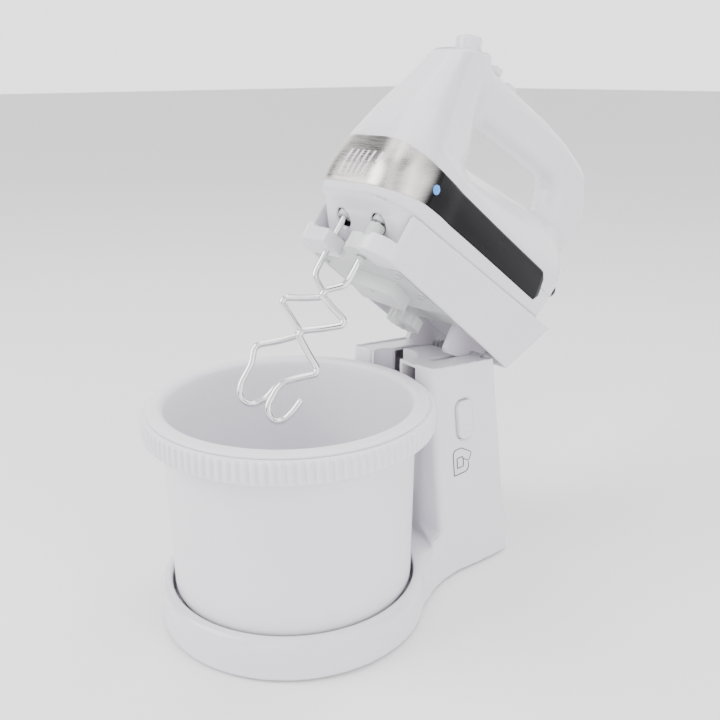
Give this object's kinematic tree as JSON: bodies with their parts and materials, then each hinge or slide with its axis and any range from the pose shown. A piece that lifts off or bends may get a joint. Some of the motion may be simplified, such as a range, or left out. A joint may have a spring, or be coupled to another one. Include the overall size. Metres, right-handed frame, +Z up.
{
  "type": "stand mixer",
  "caption": "Hand mixer with dough hooks lying in the tilting arm of a stand, over a bowl on a turntable that the arm turns through a ribbed ring.",
  "frame": {"origin": "on the floor, under the middle of the bounding box", "axes": "+Z up, +Y to the rear (column side), the bowl in front"},
  "size_m": [0.206, 0.44, 0.4056],
  "materials": {
    "white_gloss": "glossy white with a faint cool tint",
    "bowl_satin": "satin white",
    "nylon": "translucent milky",
    "steel_brushed": "brushed",
    "black_gloss": "glossy black",
    "lens_blue": "clear blue",
    "hook_chrome": "polished",
    "spring_steel": "bright",
    "plain_steel": "ground",
    "rubber_grey": "matt",
    "copper_wire": "enamelled",
    "bronze": "sintered",
    "laminations": "varnished",
    "dark_plastic": "matt black",
    "board_green": "satin"
  },
  "bodies": {
    "stand": {"stand_housing": "white_gloss", "base_cover": "white_gloss", "rubber_feet": "rubber_grey", "column_deck": "white_gloss", "hinge_pin": "plain_steel", "hinge_spring": "spring_steel", "latch_spring": "spring_steel", "stand_screws": "plain_steel", "turntable_spindle": "plain_steel", "thrust_washer": "plain_steel"},
    "release": {"release_button": "white_gloss", "latch_slide": "white_gloss"},
    "turntable": {"turntable": "bowl_satin"},
    "bowl": {"bowl": "bowl_satin", "bowl_ring": "bowl_satin"},
    "arm": {"arm_tray": "white_gloss", "gearbox_housing": "white_gloss", "hinge_bracket": "white_gloss", "arm_screws": "plain_steel", "gear_axles": "plain_steel"},
    "sleeve": {"drive_sleeve": "nylon"},
    "reduction": {"reduction_gear": "nylon"},
    "idler": {"idler_gear": "nylon"},
    "wheel": {"drive_wheel": "nylon"},
    "mixer": {"lower_housing": "white_gloss", "upper_housing": "white_gloss", "nose_band": "steel_brushed", "side_panel_right": "black_gloss", "side_panel_left": "black_gloss", "indicator_lens": "lens_blue", "motor_stator": "laminations", "field_coils": "copper_wire", "brush_holders": "dark_plastic", "motor_bushes": "bronze", "spindle_bushes": "bronze", "circuit_board": "board_green", "cord_gland": "dark_plastic", "mixer_screws": "plain_steel", "eject_spring": "spring_steel", "turbo_spring": "spring_steel"},
    "rotor": {"rotor_shaft": "plain_steel", "rotor_core": "laminations", "commutator": "copper_wire", "worm": "plain_steel", "cooling_fan": "dark_plastic"},
    "spindle_left": {"spindle_gear_left": "nylon"},
    "spindle_right": {"spindle_gear_right": "nylon"},
    "hook_left": {"dough_hook_left": "hook_chrome"},
    "hook_right": {"dough_hook_right": "hook_chrome"},
    "eject_button": {"eject_button": "white_gloss"},
    "eject_yoke": {"eject_yoke": "white_gloss"},
    "speed_switch": {"speed_switch": "white_gloss"},
    "turbo_button": {"turbo_button": "white_gloss"}
  },
  "joints": [
    {"name": "bowl_spin", "type": "hinge", "parent": "stand", "child": "turntable", "pos_m": [0, -0.11692, 0.014], "axis": [0, 0, 1], "continuous": true},
    {"name": "bowl_lift", "type": "slide", "parent": "turntable", "child": "bowl", "axis": [0, 0, 1], "range_m": [0, 0.03]},
    {"name": "arm_hinge", "type": "hinge", "parent": "stand", "child": "arm", "pos_m": [0, 0.05358, 0.1625], "axis": [-1, 0, 0], "range_deg": [-38.5, 0]},
    {"name": "release_press", "type": "slide", "parent": "stand", "child": "release", "axis": [-0.9926, 0, -0.1217], "range_m": [0, 0.004], "stiffness_N_per_m": 300, "springref_m": -0.004, "deforming": ["latch_spring"]},
    {"name": "mixer_lift", "type": "slide", "parent": "arm", "child": "mixer", "axis": [0, 0.6225, 0.7826], "range_m": [0, 0.018]},
    {"name": "motor_spin", "type": "hinge", "parent": "mixer", "child": "rotor", "pos_m": [0, 0.03545, 0.25295], "axis": [0, 0.7826, -0.6225], "continuous": true},
    {"name": "spindle_left_spin", "type": "hinge", "parent": "mixer", "child": "spindle_left", "pos_m": [-0.018, -0.02834, 0.30369], "axis": [0, 0.6225, 0.7826], "continuous": true},
    {"name": "spindle_right_spin", "type": "hinge", "parent": "mixer", "child": "spindle_right", "pos_m": [0.018, -0.02834, 0.30369], "axis": [0, 0.6225, 0.7826], "continuous": true},
    {"name": "sleeve_spin", "type": "hinge", "parent": "arm", "child": "sleeve", "pos_m": [0.018, -0.06071, 0.26299], "axis": [0, 0.6225, 0.7826], "continuous": true},
    {"name": "reduction_spin", "type": "hinge", "parent": "arm", "child": "reduction", "pos_m": [0.00856, -0.03433, 0.24201], "axis": [0, 0.6225, 0.7826], "continuous": true},
    {"name": "idler_spin", "type": "hinge", "parent": "arm", "child": "idler", "pos_m": [0.00467, -0.00856, 0.22662], "axis": [0, 0.6225, 0.7826], "continuous": true},
    {"name": "wheel_spin", "type": "hinge", "parent": "arm", "child": "wheel", "pos_m": [-0.0091, 0.00875, 0.19496], "axis": [0, 0.6225, 0.7826], "continuous": true},
    {"name": "eject_press", "type": "slide", "parent": "mixer", "child": "eject_button", "axis": [0, -0.1478, -0.989], "range_m": [0, 0.006], "stiffness_N_per_m": 600, "springref_m": -0.006, "deforming": ["eject_spring"]},
    {"name": "yoke_slide", "type": "slide", "parent": "mixer", "child": "eject_yoke", "axis": [0, -0.6225, -0.7826], "range_m": [0, 0.006]},
    {"name": "hook_left_eject", "type": "slide", "parent": "spindle_left", "child": "hook_left", "axis": [0, -0.6225, -0.7826], "range_m": [0, 0.006]},
    {"name": "hook_right_eject", "type": "slide", "parent": "spindle_right", "child": "hook_right", "axis": [0, -0.6225, -0.7826], "range_m": [0, 0.006]},
    {"name": "speed_slide", "type": "slide", "parent": "mixer", "child": "speed_switch", "axis": [0, 0.8746, -0.4848], "range_m": [0, 0.009]},
    {"name": "turbo_press", "type": "slide", "parent": "mixer", "child": "turbo_button", "axis": [0, -0.4924, -0.8704], "range_m": [0, 0.002], "stiffness_N_per_m": 300, "springref_m": -0.003, "deforming": ["turbo_spring"]}
  ],
  "couplings": [
    {"joint": "spindle_right_spin", "follows": "motor_spin", "ratio": 0.038462},
    {"joint": "spindle_left_spin", "follows": "motor_spin", "ratio": -0.038462},
    {"joint": "sleeve_spin", "follows": "motor_spin", "ratio": 0.038462},
    {"joint": "reduction_spin", "follows": "motor_spin", "ratio": -0.015385},
    {"joint": "idler_spin", "follows": "motor_spin", "ratio": 0.010256},
    {"joint": "wheel_spin", "follows": "motor_spin", "ratio": -0.010256},
    {"joint": "yoke_slide", "follows": "eject_press", "ratio": 1},
    {"joint": "hook_left_eject", "follows": "eject_press", "ratio": 1},
    {"joint": "hook_right_eject", "follows": "eject_press", "ratio": 1}
  ]
}
